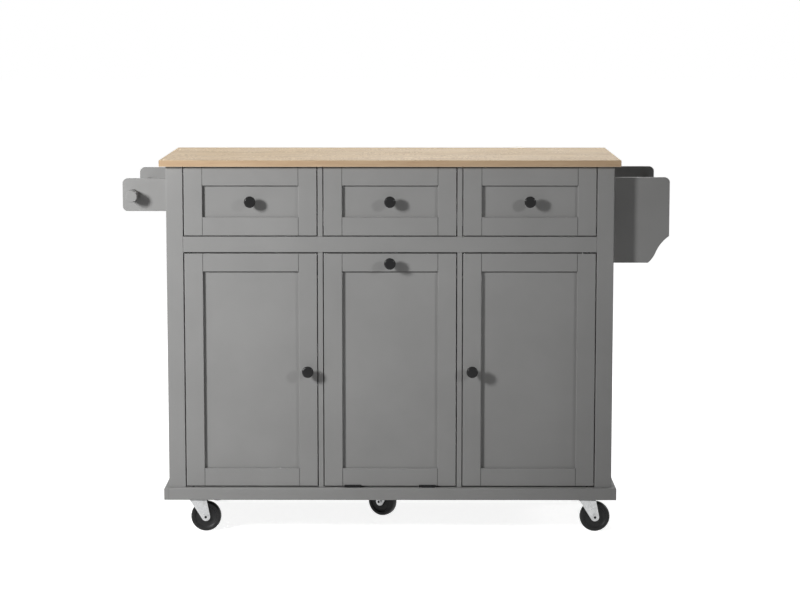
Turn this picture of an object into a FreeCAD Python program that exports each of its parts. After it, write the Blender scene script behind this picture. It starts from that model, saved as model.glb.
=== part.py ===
import FreeCAD, Part
import math
import os

# Kitchen island on casters: a painted cabinet with three drawers, two side doors, a tilt-out
# bin door, an oak worktop, a towel rack on the left and a spice rack on the right.
# Millimetres, +Z up, the front faces -Y. While modelling, X is measured from the cabinet's
# middle, Y from the face of its front frame and Z from the floor. save() then moves every
# piece so that the origin is at the bottom centre of the whole object.

V = FreeCAD.Vector
os.makedirs("parts", exist_ok=True)

# Worktop
total_height = 930.0
top_depth = 460.0
top_thickness = 16.0
top_front_overhang = 15.0
top_back_overhang = 15.0
top_end_overhang = 15.0
top_edge_ease = 1.0

# Cabinet
body_width = 1090.0
side_thickness = 15.0
post_width = 41.0
face_thickness = 18.0
divider_thickness = 12.0
back_thickness = 4.0
bottom_thickness = 15.0
face_ease = 0.8

# Rails between the posts
bottom_rail_height = 30.0
middle_rail_height = 38.5
drawer_opening_height = 171.5
stretcher_depth = 60.0
stretcher_thickness = 15.0

# Plinth boards, which hang a little below the bottom panel
plinth_drop = 7.0
plinth_projection = 12.0
plinth_bevel = 2.5

# Drawer fronts and doors, all framed round a recessed panel
front_thickness = 15.0
side_gap = 2.25
drawer_bottom_gap = 2.5
drawer_top_gap = 2.0
door_gap = 3.0
stile_width = 45.0
drawer_rail_height = 45.0
door_rail_height = 44.0
panel_recess = 8.0
panel_thickness = 4.0
groove_depth = 8.0
front_ease = 0.6

# Knobs
knob_length = 32.0
knob_radius = 14.0
knob_neck_radius = 6.0
knob_neck_share = 0.58

# Drawer boxes
drawer_back_gap = 31.0
drawer_side_height = 110.0
drawer_side_thickness = 12.0
drawer_floor_thickness = 4.0
drawer_floor_lift = 6.0
drawer_floor_groove = 6.0
drawer_lift = 12.0

# Runners on the drawer sides: a moving profile nested in a fixed channel
runner_slot = 12.5
runner_metal = 1.2
runner_lift = 10.0
channel_height = 35.0
channel_flange = 10.0
channel_start = 2.0
channel_back_gap = 21.0
member_flange = 9.5
running_gap = 0.3
batten_lap = 6.0

# Side doors turn on pins in their top and bottom edges
pivot_inset = 16.0
pivot_radius = 3.0
pivot_clearance = 0.06
pivot_reach = 10.0
pivot_socket_depth = 11.0
pivot_plate_length = 26.0
pivot_plate_width = 10.0
pivot_plate_thickness = 2.0

# Magnetic catches
catch_width = 14.0
catch_depth = 40.0
catch_height = 38.0
catch_below_rail = 28.0
strike_thickness = 1.2
strike_width = 12.0
strike_height = 30.0

# Tilt-out door: butt hinges along its lower front edge
hinge_spacing = 184.0
hinge_length = 42.0
barrel_radius = 3.1
barrel_stand_off = 0.3
barrel_lift = 0.3
knuckle_gap = 0.3
hinge_pin_radius = 1.4
hinge_pin_clearance = 0.06
leaf_thickness = 1.2
leaf_depth = 14.0
leaf_set_back = 0.4

# Bin cradle behind the tilt-out door, whose horns stop the door when it is open
tilt_angle = 30.0
cradle_side_thickness = 12.0
cradle_side_gap = 6.0
cradle_lift = 19.0
cradle_back_step = 10.5
cradle_top_drop = 134.0
cradle_floor_thickness = 12.0
cradle_rail_height = 60.0
cradle_lower_rail_lift = 40.0
cradle_upper_rail_drop = 20.0
horn_overlap = 10.0
horn_width = 25.0
horn_stop_gap = 0.6

# Shelves in the side cupboards
shelf_thickness = 12.0
shelf_height = 400.0
shelf_front_set_back = 40.0
shelf_back_gap = 4.0
shelf_end_gap = 0.5
support_reach = 14.0
support_drop = 16.0
support_width = 12.0
support_metal = 2.0
support_inset = 50.0

# Towel rack on the left
rack_front_set_back = 41.0
rack_back_inset = 20.0
rack_thickness = 13.0
towel_reach = 110.0
towel_plate_drop = 33.0
towel_plate_height = 80.0
towel_corner_radius = 12.0
towel_bar_radius = 14.5
towel_bar_reach = 84.0
towel_bar_drop = 41.0
bar_front_overrun = 40.0
bar_back_overrun = 30.0
bar_end_ease = 1.5

# Spice rack on the right
spice_reach = 139.0
spice_plate_drop = 30.0
spice_plate_height = 210.0
spice_corner_radius = 12.0
spice_foot_reach = 88.0
spice_ogee_height = 66.0
spice_shelf_lift = 16.0
spice_shelf_thickness = 12.0
spice_shelf_reach = 98.0
guard_radius = 8.0
guard_reach = 121.0
guard_drop = 34.0

# The ogee's points, as shares of its width and height from the plate's foot
ogee_convex_middle_share = (0.218, 0.186)
ogee_inflection_share = (0.373, 0.409)
ogee_concave_middle_share = (0.633, 0.738)

# Casters
wheel_radius = 37.5
wheel_width = 24.0
wheel_side_gap = 0.9
caster_trail = 25.0
axle_radius = 4.0
axle_clearance = 0.08
axle_head_radius = 6.5
axle_head_thickness = 4.0
fork_metal = 2.3
fork_crown_gap = 5.2
fork_bend_radius = 4.5
fork_end_radius = 10.5
fork_front_reach = 15.6
fork_rear_reach = 26.9
fork_rib_thickness = 1.0
fork_rib_width = 19.0
fork_rib_foot = 11.0
fork_rib_margin = 2.0
race_radius = 22.0
race_height = 12.7
race_gap = 0.3
plate_size = 60.0
plate_thickness = 2.5
plate_corner = 6.0
kingpin_radius = 5.0
kingpin_clearance = 0.08
kingpin_head_radius = 9.0
kingpin_head_thickness = 3.0
corner_caster_inset = 61.0
end_caster_inset = 50.0
centre_caster_advance = 11.0

hexagon_sides = 6

# One overrun for every cut that passes right through, and the tolerance for finding edges
overrun = 5.0
tiny = 1e-6
full_turn = 360.0

# Worked out from the sizes above
body_top = total_height - top_thickness
body_depth = top_depth - top_front_overhang - top_back_overhang
fork_crown_top = 2 * wheel_radius + fork_crown_gap + fork_metal
race_bottom = fork_crown_top + race_gap
bottom_underside = race_bottom + race_height + plate_thickness
body_bottom = bottom_underside - plinth_drop
bottom_rail_top = body_bottom + bottom_rail_height
middle_rail_top = body_top - drawer_opening_height
middle_rail_bottom = middle_rail_top - middle_rail_height
half_width = body_width / 2
inner_half_width = half_width - side_thickness
post_inner = half_width - post_width
opening_width = (2 * post_inner - 2 * divider_thickness) / 3
divider_inner = opening_width / 2
divider_outer = divider_inner + divider_thickness
inner_back = body_depth - back_thickness
bottom_top = bottom_underside + bottom_thickness
door_bottom = bottom_rail_top + door_gap
door_top = middle_rail_bottom - door_gap
drawer_bottom = middle_rail_top + drawer_bottom_gap
drawer_top = body_top - drawer_top_gap
drawer_box_bottom = drawer_bottom + drawer_lift
drawer_depth = inner_back - front_thickness - drawer_back_gap
channel_bottom = drawer_box_bottom + runner_lift
channel_top = channel_bottom + channel_height
channel_length = inner_back - face_thickness - channel_start - channel_back_gap
cradle_bottom = bottom_rail_top + cradle_lift
cradle_top = middle_rail_bottom - cradle_top_drop
rack_back_set_back = body_depth - rack_thickness - rack_back_inset
towel_plate_top = body_top - towel_plate_drop
towel_plate_bottom = towel_plate_top - towel_plate_height
towel_bar_height = towel_plate_top - towel_bar_drop
spice_plate_top = body_top - spice_plate_drop
spice_plate_bottom = spice_plate_top - spice_plate_height
spice_shelf_bottom = spice_plate_bottom + spice_shelf_lift
guard_height = spice_plate_top - guard_drop
openings = {
    "left": (-post_inner, -divider_outer),
    "middle": (-divider_inner, divider_inner),
    "right": (divider_outer, post_inner),
}
origin_shift = V((towel_reach - spice_reach) / 2,
                 (knob_length - (top_depth - top_front_overhang)) / 2, 0)

# Where each caster stands and the heading that its wheel trails along, in degrees from +X
caster_x = half_width - corner_caster_inset
caster_places = {
    "front_left": (-caster_x, end_caster_inset, 0.0),
    "front_right": (caster_x, end_caster_inset, 0.0),
    "rear_left": (-caster_x, body_depth - end_caster_inset, 8.0),
    "rear_right": (caster_x, body_depth - end_caster_inset, -12.0),
    "centre": (0.0, body_depth / 2 - centre_caster_advance, 148.0),
}


def box(x0, x1, y0, y1, z0, z1):
    """A block between two corners, given in either order along X."""
    left, right = min(x0, x1), max(x0, x1)
    return Part.makeBox(right - left, y1 - y0, z1 - z0, V(left, y0, z0))


def cylinder(radius, length, start, direction):
    return Part.makeCylinder(radius, length, start, direction)


def prism(points, travel):
    """A straight-sided solid: the polygon through the points, extruded."""
    wire = Part.makePolygon(points + [points[0]])
    return Part.Face(wire).extrude(travel)


def eased_front(board, y_front, ease):
    """Take the sharpness off the edges that lie in the board's front face."""
    edges = [e for e in board.Edges if all(abs(v.Y - y_front) < tiny for v in e.Vertexes)]
    return board.makeChamfer(ease, edges)


def closed_lines(points):
    return [Part.makeLine(a, b) for a, b in zip(points, points[1:] + points[:1])]


def turned(profile_edges, centre, axis):
    """A turned solid: the closed profile spun round an axis."""
    face = Part.Face(Part.Wire(profile_edges))
    return face.revolve(centre, axis, full_turn)


def mirrored(solid):
    return solid.mirror(V(0, 0, 0), V(1, 0, 0))


def save(name, solids):
    group = Part.makeCompound(solids)
    group.translate(origin_shift)
    group.exportStep("parts/" + name + ".step")


# Cabinet

def worktop():
    x = half_width + top_end_overhang
    slab = box(-x, x, -top_front_overhang, top_depth - top_front_overhang,
               body_top, total_height)
    edges = [e for e in slab.Edges
             if all(abs(v.Z - total_height) < tiny for v in e.Vertexes)]
    return slab.makeChamfer(top_edge_ease, edges)


def side_panel():
    """The right side panel."""
    return box(inner_half_width, half_width, face_thickness, body_depth,
               body_bottom, body_top)


def front_post():
    post = box(post_inner, half_width, 0, face_thickness, body_bottom, body_top)
    return eased_front(post, 0, face_ease)


def pivot_sockets():
    """The holes that the side doors' pins turn in, above and below the doors."""
    y = front_thickness / 2
    radius = pivot_radius + pivot_clearance
    holes = []
    for side in (-1, 1):
        x = side * (post_inner - side_gap - pivot_inset)
        holes.append(cylinder(radius, pivot_socket_depth,
                              V(x, y, middle_rail_bottom), V(0, 0, 1)))
        holes.append(cylinder(radius, pivot_socket_depth,
                              V(x, y, bottom_rail_top), V(0, 0, -1)))
    return holes


def face_rail(z0, z1):
    rail = box(-post_inner, post_inner, 0, face_thickness, z0, z1)
    return eased_front(rail, 0, face_ease).cut(pivot_sockets())


def divider():
    """The right divider, notched round the rails and the top stretchers."""
    panel = box(divider_inner, divider_outer, 0, inner_back, bottom_top, body_top)
    x0, x1 = divider_inner - overrun, divider_outer + overrun
    stretcher_bottom = body_top - stretcher_thickness
    notches = [
        box(x0, x1, -overrun, face_thickness, bottom_top - overrun, bottom_rail_top),
        box(x0, x1, -overrun, face_thickness, middle_rail_bottom, middle_rail_top),
        box(x0, x1, face_thickness, face_thickness + stretcher_depth,
            stretcher_bottom, body_top + overrun),
        box(x0, x1, inner_back - stretcher_depth, inner_back + overrun,
            stretcher_bottom, body_top + overrun),
    ]
    return panel.cut(notches)


def top_stretchers():
    z0 = body_top - stretcher_thickness
    front = box(-inner_half_width, inner_half_width,
                face_thickness, face_thickness + stretcher_depth, z0, body_top)
    back = box(-inner_half_width, inner_half_width,
               inner_back - stretcher_depth, inner_back, z0, body_top)
    return [front, back]


def plinth_front():
    board = box(-half_width, half_width, -plinth_projection, 0, body_bottom, bottom_rail_top)
    edges = [e for e in board.Edges
             if all(abs(v.Z - bottom_rail_top) < tiny and abs(v.Y + plinth_projection) < tiny
                    for v in e.Vertexes)]
    return board.makeChamfer(plinth_bevel, edges)


def plinth_side():
    """The right side board, which covers the end of the front board."""
    outer = half_width + plinth_projection
    board = box(half_width, outer, -plinth_projection, body_depth, body_bottom, bottom_rail_top)
    edges = [e for e in board.Edges
             if all(abs(v.Z - bottom_rail_top) < tiny for v in e.Vertexes)
             and (all(abs(v.X - outer) < tiny for v in e.Vertexes)
                  or all(abs(v.Y + plinth_projection) < tiny for v in e.Vertexes))]
    return board.makeChamfer(plinth_bevel, edges)


def shelf():
    """The right cupboard's shelf."""
    return box(divider_outer + shelf_end_gap, inner_half_width - shelf_end_gap,
               shelf_front_set_back, inner_back - shelf_back_gap,
               shelf_height, shelf_height + shelf_thickness)


def shelf_supports():
    """The right shelf's four angle supports, two on the divider and two on the side panel."""
    front = shelf_front_set_back + support_inset
    back = inner_back - shelf_back_gap - support_inset - support_width
    t = support_metal
    brackets = []
    for y in (front, back):
        for x_face, side in ((divider_outer, 1), (inner_half_width, -1)):
            outline = [(0, shelf_height - support_drop), (t, shelf_height - support_drop),
                       (t, shelf_height - t), (support_reach, shelf_height - t),
                       (support_reach, shelf_height), (0, shelf_height)]
            points = [V(x_face + side * u, y, z) for u, z in outline]
            brackets.append(prism(points, V(0, support_width, 0)))
    return brackets


# Drawers

def framed_front(x0, x1, z0, z1, rail_height):
    """Two full-height stiles, two rails between them and a panel held in their grooves."""
    left, right = x0 + stile_width, x1 - stile_width
    low, high = z0 + rail_height, z1 - rail_height
    panel = box(left - groove_depth, right + groove_depth,
                panel_recess, panel_recess + panel_thickness,
                low - groove_depth, high + groove_depth)
    sticks = [(x0, left, z0, z1), (right, x1, z0, z1), (left, right, z0, low),
              (left, right, high, z1)]
    frame = []
    for a, b, c, d in sticks:
        stick = eased_front(box(a, b, 0, front_thickness, c, d), 0, front_ease)
        frame.append(stick.cut(panel))
    return frame, panel


def knob(x, y_seat, z):
    """A turned knob: a round head on a neck that stands out towards -Y from its seat."""
    shoulder = knob_neck_share * knob_length
    outline = [(0, 0), (knob_neck_radius, 0), (knob_neck_radius, shoulder),
               (knob_radius, shoulder), (knob_radius, knob_length), (0, knob_length)]
    points = [V(x + radius, y_seat - height, z) for radius, height in outline]
    return turned(closed_lines(points), V(x, y_seat, z), V(0, 1, 0))


def drawer_box(x0, x1):
    """Two sides, a back between them and a floor held in their grooves."""
    left, right = x0 + runner_slot, x1 - runner_slot
    y0, y1 = front_thickness, front_thickness + drawer_depth
    z0, z1 = drawer_box_bottom, drawer_box_bottom + drawer_side_height
    floor_z = z0 + drawer_floor_lift
    floor = box(left + drawer_side_thickness - drawer_floor_groove,
                right - drawer_side_thickness + drawer_floor_groove,
                y0, y1 - drawer_side_thickness + drawer_floor_groove,
                floor_z, floor_z + drawer_floor_thickness)
    walls = [
        box(left, left + drawer_side_thickness, y0, y1, z0, z1),
        box(right - drawer_side_thickness, right, y0, y1, z0, z1),
        box(left + drawer_side_thickness, right - drawer_side_thickness,
            y1 - drawer_side_thickness, y1, z0, z1),
    ]
    return [wall.cut(floor) for wall in walls] + [floor]


def section(points, x_face, side, y0, length):
    """A pressed section along Y: the points are (distance from the mounting face, height)."""
    return prism([V(x_face + side * u, y0, z) for u, z in points], V(0, length, 0))


def channel(x_face, side):
    """The fixed member: a channel open towards the drawer."""
    t, flange = runner_metal, channel_flange
    low, high = channel_bottom, channel_top
    points = [(0, low), (flange, low), (flange, low + t), (t, low + t),
              (t, high - t), (flange, high - t), (flange, high), (0, high)]
    return section(points, x_face, side, face_thickness + channel_start, channel_length)


def drawer_member(x_face, side):
    """The moving member on a drawer side, its flanges nested in the channel's."""
    t, web = runner_metal, runner_slot - runner_metal
    low, high = channel_bottom + t + running_gap, channel_top - t - running_gap
    tip = runner_slot - member_flange
    points = [(tip, low), (runner_slot, low), (runner_slot, high), (tip, high),
              (tip, high - t), (web, high - t), (web, low + t), (tip, low + t)]
    return section(points, x_face, side, front_thickness, drawer_depth)


def runner_batten():
    """Packs the right side panel out to the opening's edge, for the runner to fix to."""
    return box(post_inner, inner_half_width, face_thickness, inner_back,
               channel_bottom - batten_lap, channel_top + batten_lap)


# Side doors

def pivots(side):
    """The plates let into a side door's top and bottom edges, each with its turning pin."""
    x = side * (post_inner - side_gap - pivot_inset)
    y = front_thickness / 2
    across, deep = pivot_plate_length / 2, pivot_plate_width / 2
    fittings = []
    for z, way in ((door_top, 1), (door_bottom, -1)):
        plate = box(x - across, x + across, y - deep, y + deep,
                    min(z, z - way * pivot_plate_thickness),
                    max(z, z - way * pivot_plate_thickness))
        pin = cylinder(pivot_radius, door_gap + pivot_reach, V(x, y, z), V(0, 0, way))
        fittings.append(plate.fuse(pin).removeSplitter())
    return fittings


def strike_plate(x_middle):
    z1 = door_top - (catch_below_rail - door_gap)
    half = strike_width / 2
    return box(x_middle - half, x_middle + half, front_thickness,
               front_thickness + strike_thickness, z1 - strike_height, z1)


def side_door(side):
    opening = openings["left" if side < 0 else "right"]
    frame, panel = framed_front(opening[0] + side_gap, opening[1] - side_gap,
                                door_bottom, door_top, door_rail_height)
    pins = pivots(side)
    strike = strike_plate(side * (divider_outer + catch_width / 2))
    return [stick.cut(pins) for stick in frame], panel, pins + [strike]


def magnet_catches():
    """One on each divider for the side doors, one behind the middle rail for the bin door."""
    y0 = front_thickness + strike_thickness + running_gap
    z1 = middle_rail_bottom - catch_below_rail
    side_catch = box(divider_outer, divider_outer + catch_width, y0, y0 + catch_depth,
                     z1 - catch_height, z1)
    half = catch_height / 2
    z_low = door_top - catch_below_rail / 2
    lower = box(-half, half, y0, face_thickness + catch_width, z_low, middle_rail_bottom)
    upper = box(-half, half, face_thickness, face_thickness + catch_width,
                z_low, middle_rail_bottom + catch_width)
    return [side_catch, mirrored(side_catch), lower.fuse(upper).removeSplitter()]


# Tilt-out door

hinge_y = -(barrel_radius + barrel_stand_off)
hinge_z = bottom_rail_top + barrel_lift + barrel_radius

# The cradle's horn tip with the door shut: turned out, it meets the back of the middle rail
tilt = math.radians(tilt_angle)
horn_run = face_thickness + horn_stop_gap - hinge_y
horn_rise = middle_rail_bottom + horn_overlap - hinge_z
horn_reach = math.hypot(horn_run, horn_rise)
horn_bearing = tilt + math.atan2(horn_run, horn_rise)
horn_tip_y = hinge_y + horn_reach * math.sin(horn_bearing)
horn_tip_z = hinge_z + horn_reach * math.cos(horn_bearing)
cradle_back = horn_tip_y - cradle_back_step


def hinge_half(x_centre, moving):
    """One leaf of a butt hinge with its knuckles; the outer two belong to the fixed leaf."""
    third = hinge_length / 3
    spans = [(-third / 2, third / 2)] if moving else [
        (-hinge_length / 2, -third / 2 - knuckle_gap),
        (third / 2 + knuckle_gap, hinge_length / 2)]
    if moving:
        z0 = door_bottom - leaf_thickness
    else:
        z0 = bottom_rail_top
    z1 = z0 + leaf_thickness
    half = hinge_length / 2
    leaf = box(x_centre - half, x_centre + half, leaf_set_back, leaf_depth, z0, z1)
    for a, b in spans:
        start = V(x_centre + a, hinge_y, hinge_z)
        leaf = leaf.fuse(cylinder(barrel_radius, b - a, start, V(1, 0, 0)))
        leaf = leaf.fuse(box(x_centre + a, x_centre + b, hinge_y, leaf_set_back, z0, z1))
    start = V(x_centre - half, hinge_y, hinge_z)
    if moving:
        bore = cylinder(hinge_pin_radius + hinge_pin_clearance, hinge_length, start, V(1, 0, 0))
        return leaf.cut(bore).removeSplitter()
    pin = cylinder(hinge_pin_radius, hinge_length, start, V(1, 0, 0))
    return leaf.fuse(pin).removeSplitter()


def cradle_side_outline():
    """Side board's outline in Y and Z, up to its horn."""
    foot_y = horn_tip_y - (horn_tip_z - cradle_top) * math.tan(tilt)
    return [(front_thickness, cradle_bottom), (cradle_back, cradle_bottom),
            (horn_tip_y + horn_width * math.cos(tilt), horn_tip_z - horn_width * math.sin(tilt)),
            (horn_tip_y, horn_tip_z), (foot_y, cradle_top), (front_thickness, cradle_top)]


def bin_cradle():
    """Two side boards, a floor and two back rails behind the tilt-out door."""
    outer = divider_inner - cradle_side_gap
    inner = outer - cradle_side_thickness
    points = [V(inner, y, z) for y, z in cradle_side_outline()]
    side = prism(points, V(cradle_side_thickness, 0, 0))
    back_y = cradle_back
    rail_y = back_y - cradle_side_thickness
    floor = box(-inner, inner, front_thickness, rail_y, cradle_bottom,
                cradle_bottom + cradle_floor_thickness)
    lower_z = cradle_bottom + cradle_lower_rail_lift
    upper_z = cradle_top - cradle_upper_rail_drop
    rails = [
        box(-inner, inner, rail_y, back_y, lower_z, lower_z + cradle_rail_height),
        box(-inner, inner, rail_y, back_y, upper_z - cradle_rail_height, upper_z),
    ]
    return [side, mirrored(side), floor] + rails


# Racks

def rack_pair(outline, x_side):
    """Two equal plates cut to an outline, one near the front and one near the back."""
    face = Part.Face(Part.Wire(outline))
    plates = []
    for set_back in (rack_front_set_back, rack_back_set_back):
        plate = face.extrude(V(0, rack_thickness, 0))
        plate.translate(V(x_side, set_back, 0))
        plates.append(plate)
    return plates


def corner_arc(x, z, radius, x_way, z_way):
    """A quarter round at an outer corner, from its vertical side to its level side."""
    bulge = radius * math.cos(math.pi / 4)
    centre_x, centre_z = x - x_way * radius, z - z_way * radius
    return Part.Arc(V(x, 0, centre_z),
                    V(centre_x + x_way * bulge, 0, centre_z + z_way * bulge),
                    V(centre_x, 0, z)).toShape()


def towel_rack_ends():
    out, low, high, r = -towel_reach, towel_plate_bottom, towel_plate_top, towel_corner_radius
    outline = [
        Part.makeLine(V(0, 0, low), V(0, 0, high)),
        Part.makeLine(V(0, 0, high), V(out + r, 0, high)),
        corner_arc(out, high, r, -1, 1),
        Part.makeLine(V(out, 0, high - r), V(out, 0, low + r)),
        corner_arc(out, low, r, -1, -1),
        Part.makeLine(V(out + r, 0, low), V(0, 0, low)),
    ]
    bar = towel_bar()
    return [plate.cut(bar) for plate in rack_pair(outline, -half_width)]


def towel_bar():
    """A round bar right through both plates, its ends lightly chamfered."""
    y0 = rack_front_set_back - bar_front_overrun
    y1 = rack_back_set_back + rack_thickness + bar_back_overrun
    bar = cylinder(towel_bar_radius, y1 - y0,
                   V(-half_width - towel_bar_reach, y0, towel_bar_height), V(0, 1, 0))
    ends = [e for e in bar.Edges if len(e.Vertexes) == 1]
    return bar.makeChamfer(bar_end_ease, ends)


def spice_rack_ends():
    low, high, out = spice_plate_bottom, spice_plate_top, spice_reach
    width = out - spice_foot_reach

    def ogee_point(share):
        return V(spice_foot_reach + share[0] * width, 0, low + share[1] * spice_ogee_height)

    foot, shoulder = ogee_point((0, 0)), ogee_point((1, 1))
    inflection = ogee_point(ogee_inflection_share)
    outline = [
        Part.makeLine(V(0, 0, high), V(0, 0, low)),
        Part.makeLine(V(0, 0, low), foot),
        Part.Arc(foot, ogee_point(ogee_convex_middle_share), inflection).toShape(),
        Part.Arc(inflection, ogee_point(ogee_concave_middle_share), shoulder).toShape(),
        Part.makeLine(shoulder, V(out, 0, high - spice_corner_radius)),
        corner_arc(out, high, spice_corner_radius, 1, 1),
        Part.makeLine(V(out - spice_corner_radius, 0, high), V(0, 0, high)),
    ]
    return rack_pair(outline, half_width)


def spice_shelf():
    return box(half_width, half_width + spice_shelf_reach,
               rack_front_set_back + rack_thickness, rack_back_set_back,
               spice_shelf_bottom, spice_shelf_bottom + spice_shelf_thickness)


def spice_guard_rail():
    y0 = rack_front_set_back + rack_thickness
    return cylinder(guard_radius, rack_back_set_back - y0,
                    V(half_width + guard_reach, y0, guard_height), V(0, 1, 0))


# Casters, modelled with the swivel axis at X = Y = 0 and the wheel trailing towards +X

fork_inner = wheel_width / 2 + wheel_side_gap
fork_outer = fork_inner + fork_metal


def caster_wheel():
    """A solid wheel with a bore for the axle."""
    across = V(0, wheel_width, 0)
    start = V(caster_trail, -wheel_width / 2, wheel_radius)
    tread = cylinder(wheel_radius, wheel_width, start, across)
    bore = cylinder(axle_radius + axle_clearance, wheel_width, start, across)
    return [tread.cut(bore)]


def leg_face(front_x, rear_x, end_x, end_radius):
    """A leg's outline: from the crown down to a round end about the axle."""
    top, axle_z = fork_crown_top, wheel_radius

    def tangent(x_top, side):
        """Where the straight edge from the crown meets the round end."""
        dx, dz = end_x - x_top, axle_z - top
        distance = math.hypot(dx, dz)
        heading = math.atan2(dz, dx) + side * math.asin(end_radius / distance)
        run = math.sqrt(distance ** 2 - end_radius ** 2)
        return V(x_top + run * math.cos(heading), 0, top + run * math.sin(heading))

    front_foot, rear_foot = tangent(front_x, -1), tangent(rear_x, 1)
    lowest = V(end_x, 0, axle_z - end_radius)
    return Part.Face(Part.Wire([
        Part.makeLine(V(front_x, 0, top), front_foot),
        Part.Arc(front_foot, lowest, rear_foot).toShape(),
        Part.makeLine(rear_foot, V(rear_x, 0, top)),
        Part.makeLine(V(rear_x, 0, top), V(front_x, 0, top)),
    ]))


def pressed_channel():
    """The fork's bent sheet before it is trimmed: a U with rounded bends, open below."""
    def u_face(half, top, radius, bottom):
        bulge = radius * (1 - math.cos(math.pi / 4))
        x = -fork_front_reach
        return Part.Face(Part.Wire([
            Part.makeLine(V(x, -half, bottom), V(x, -half, top - radius)),
            Part.Arc(V(x, -half, top - radius), V(x, bulge - half, top - bulge),
                     V(x, radius - half, top)).toShape(),
            Part.makeLine(V(x, radius - half, top), V(x, half - radius, top)),
            Part.Arc(V(x, half - radius, top), V(x, half - bulge, top - bulge),
                     V(x, half, top - radius)).toShape(),
            Part.makeLine(V(x, half, top - radius), V(x, half, bottom)),
            Part.makeLine(V(x, half, bottom), V(x, -half, bottom)),
        ]))

    length = fork_front_reach + caster_trail + fork_end_radius
    low = wheel_radius - fork_end_radius
    outside = u_face(fork_outer, fork_crown_top, fork_bend_radius, low)
    inside = u_face(fork_inner, fork_crown_top - fork_metal, fork_bend_radius - fork_metal,
                    low - overrun)
    return outside.extrude(V(length, 0, 0)).cut(inside.extrude(V(length, 0, 0)))


def caster_fork():
    """Pressed steel trimmed to the legs' outline, with an embossed rib down each leg."""
    trim = leg_face(-fork_front_reach, fork_rear_reach, caster_trail, fork_end_radius)
    trim.translate(V(0, -fork_outer - overrun, 0))
    fork = pressed_channel().common(trim.extrude(V(0, 2 * (fork_outer + overrun), 0)))

    rib_top = fork_crown_top - fork_bend_radius
    rib_rear = fork_rear_reach - fork_rib_margin
    rib = [(rib_rear - fork_rib_width, rib_top), (rib_rear, rib_top),
           (caster_trail + fork_rib_foot / 2, wheel_radius + fork_end_radius),
           (caster_trail - fork_rib_foot / 2, wheel_radius + fork_end_radius)]
    shaft = cylinder(axle_radius, 2 * fork_outer, V(caster_trail, -fork_outer, wheel_radius),
                     V(0, 1, 0))
    additions = [shaft]
    for side in (-1, 1):
        corners = [V(x, side * fork_outer, z) for x, z in rib]
        additions.append(prism(corners, V(0, side * fork_rib_thickness, 0)))
        additions.append(hexagon(caster_trail, side * fork_outer, wheel_radius,
                                 axle_head_radius, V(0, side * axle_head_thickness, 0)))
    bore = cylinder(kingpin_radius + kingpin_clearance, fork_metal + 2 * overrun,
                    V(0, 0, fork_crown_top - fork_metal - overrun), V(0, 0, 1))
    return [fork.fuse(additions).cut(bore).removeSplitter()]


def hexagon(x, y, z, radius, travel):
    """A bolt head or nut, its corners round the axis that it is extruded along."""
    corners = []
    for k in range(hexagon_sides):
        turn = 2 * math.pi * k / hexagon_sides
        a, b = radius * math.cos(turn), radius * math.sin(turn)
        corners.append(V(x + a, y, z + b) if travel.y else V(x + a, y + b, z))
    return prism(corners, travel)


def caster_plate():
    """The top plate with its ball race, and the bolt that the fork turns on."""
    half = plate_size / 2
    z0 = bottom_underside - plate_thickness
    plate = box(-half, half, -half, half, z0, bottom_underside)
    corners = [e for e in plate.Edges if abs(e.Vertexes[0].Z - e.Vertexes[1].Z) > tiny]
    plate = plate.makeChamfer(plate_corner, corners)
    race = cylinder(race_radius, race_height, V(0, 0, race_bottom), V(0, 0, 1))
    head_top = fork_crown_top - fork_metal - race_gap
    pin = cylinder(kingpin_radius, race_bottom - head_top, V(0, 0, head_top), V(0, 0, 1))
    head = hexagon(0, 0, head_top, kingpin_head_radius, V(0, 0, -kingpin_head_thickness))
    return plate.fuse([race, pin, head]).removeSplitter()


def placed(solids, x, y, heading):
    """Copies of a caster's solids, turned to their heading and set at their place."""
    copies = []
    for solid in solids:
        copy = solid.copy()
        copy.rotate(V(0, 0, 0), V(0, 0, 1), heading)
        copy.translate(V(x, y, 0))
        copies.append(copy)
    return copies


# Cabinet nodes
save("worktop", [worktop()])
right_side = side_panel()
save("side_panels", [mirrored(right_side), right_side])
right_post = front_post()
save("front_posts", [mirrored(right_post), right_post])
save("middle_rail", [face_rail(middle_rail_bottom, middle_rail_top)])
save("bottom_rail", [face_rail(body_bottom, bottom_rail_top)])
right_divider = divider()
save("dividers", [mirrored(right_divider), right_divider])
save("bottom_panel", [box(-inner_half_width, inner_half_width, face_thickness, inner_back,
                          bottom_underside, bottom_top)])
save("back_panel", [box(-inner_half_width, inner_half_width, inner_back, body_depth,
                        body_bottom, body_top)])
save("top_stretchers", top_stretchers())
save("plinth_front", [plinth_front()])
right_plinth = plinth_side()
save("plinth_sides", [mirrored(right_plinth), right_plinth])
save("shelves", [mirrored(shelf()), shelf()])
right_supports = shelf_supports()
save("shelf_supports", [mirrored(bracket) for bracket in right_supports] + right_supports)
save("runner_battens", [mirrored(runner_batten()), runner_batten()])
save("magnet_catches", magnet_catches())

# Drawer and runner nodes
channels = []
for place, (x0, x1) in openings.items():
    x_middle = (x0 + x1) / 2
    frame, panel = framed_front(x0 + side_gap, x1 - side_gap, drawer_bottom, drawer_top,
                                drawer_rail_height)
    save("drawer_" + place + "_front", frame + [panel])
    save("drawer_" + place + "_box", drawer_box(x0, x1))
    save("drawer_" + place + "_knob",
         [knob(x_middle, panel_recess, (drawer_bottom + drawer_top) / 2)])
    save("drawer_" + place + "_runners", [drawer_member(x0, 1), drawer_member(x1, -1)])
    channels += [channel(x0, 1), channel(x1, -1)]
save("runner_channels", channels)

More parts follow.
